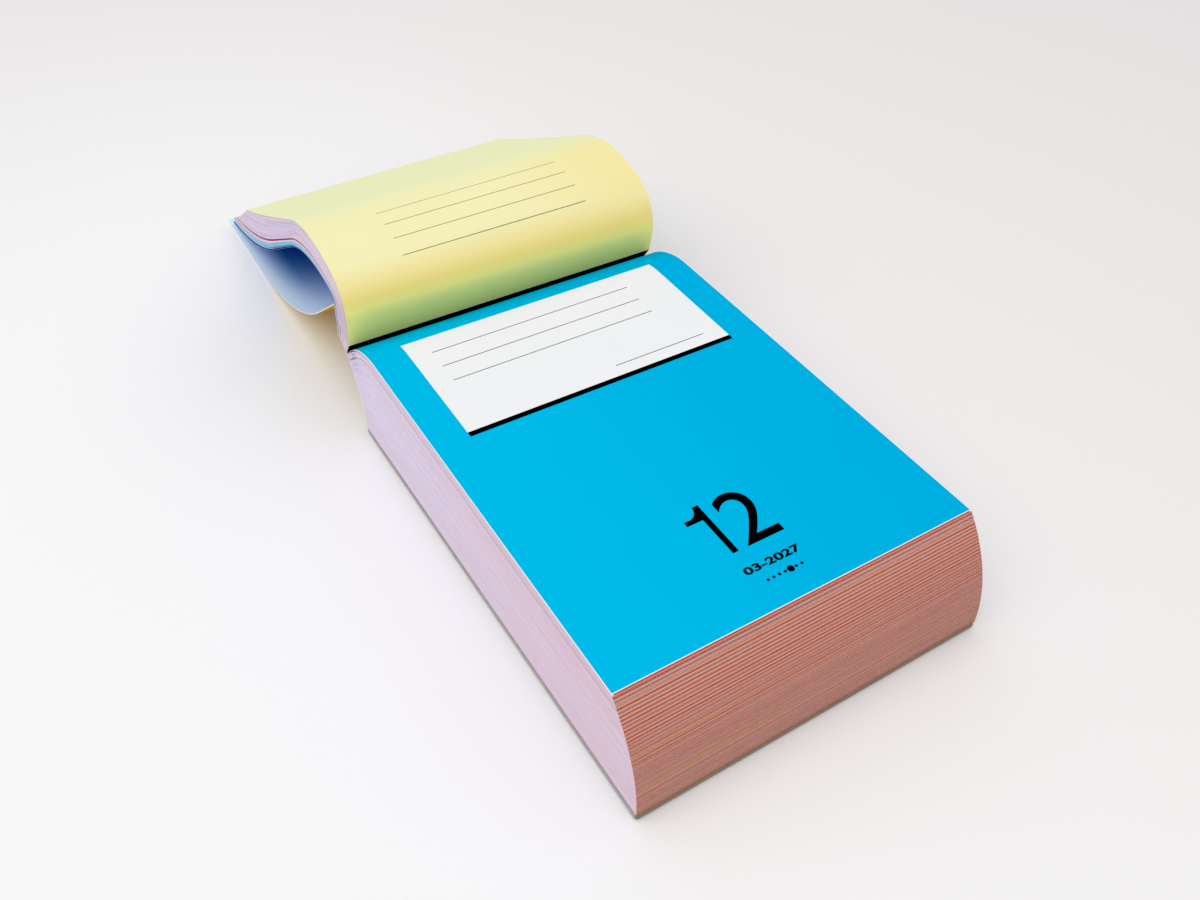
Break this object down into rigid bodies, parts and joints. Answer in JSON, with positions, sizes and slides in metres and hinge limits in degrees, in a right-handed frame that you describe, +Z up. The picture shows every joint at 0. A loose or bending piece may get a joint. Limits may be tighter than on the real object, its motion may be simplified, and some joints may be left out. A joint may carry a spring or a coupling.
{
  "type": "tear-off day calendar",
  "caption": "Block of perforated day leaves glued at the head to a grey back board, with past leaves and the cover turned over behind it.",
  "frame": {"origin": "on the back board's underside, below the middle of the lowest leaf", "axes": "+X across the leaves to the reader's right, +Y towards the glued head, +Z up from the table"},
  "size_m": [0.1105, 0.29, 0.0541],
  "materials": {
    "grey_board": "uncoated grey board",
    "padding_glue": "dried padding glue",
    "leaf_paper": "cut edges of thin paper",
    "blue_print": "matt printed paper",
    "salmon_print": "matt printed paper",
    "yellow_print": "matt printed paper",
    "white_paper": "matt paper",
    "blue_paper": "matt printed paper",
    "cover_card": "matt coated card"
  },
  "bodies": {
    "block": {"back_board": "grey_board", "head_glue": "padding_glue", "december_leaves": "leaf_paper", "november_leaves": "leaf_paper", "october_leaves": "leaf_paper", "september_leaves": "leaf_paper", "august_leaves": "leaf_paper", "july_leaves": "leaf_paper", "june_leaves": "leaf_paper", "may_leaves": "leaf_paper", "april_leaves": "leaf_paper", "march_stubs": "leaf_paper", "tomorrow_stub": "leaf_paper", "today_stub": "leaf_paper", "yesterday_stub": "leaf_paper", "early_march_stubs": "leaf_paper", "february_stubs": "leaf_paper", "january_stubs": "leaf_paper", "title_stub": "leaf_paper", "fly_stub": "leaf_paper", "cover_strip": "cover_card"},
    "march_leaves": {"march_leaves": "leaf_paper", "tomorrow_leaf": "salmon_print"},
    "today_leaf": {"today_leaf": "blue_print"},
    "turned_leaves": {"yesterday_leaf": "yellow_print", "early_march_leaves": "leaf_paper", "february_leaves": "leaf_paper", "january_leaves": "leaf_paper", "title_leaf": "white_paper", "fly_leaf": "blue_paper"},
    "cover_sheet": {"cover_sheet": "cover_card"}
  },
  "joints": [
    {"name": "march_lift", "type": "hinge", "parent": "block", "child": "march_leaves", "pos_m": [0, 0.0788, 0.0286], "axis": [-1, 0, 0], "range_deg": [0, 12]},
    {"name": "today_tear_off", "type": "slide", "parent": "march_leaves", "child": "today_leaf", "axis": [0, -0.6691, 0.7431], "range_m": [0, 0.148]},
    {"name": "turned_lift", "type": "hinge", "parent": "block", "child": "turned_leaves", "pos_m": [0, 0.07995, 0.02961], "axis": [1, 0, 0], "range_deg": [0, 20]},
    {"name": "cover_lift", "type": "hinge", "parent": "block", "child": "cover_sheet", "pos_m": [0, 0.08791, 0.0392], "axis": [1, 0, 0], "range_deg": [0, 20]}
  ],
  "couplings": [
    {"joint": "cover_lift", "follows": "turned_lift", "ratio": 1}
  ]
}
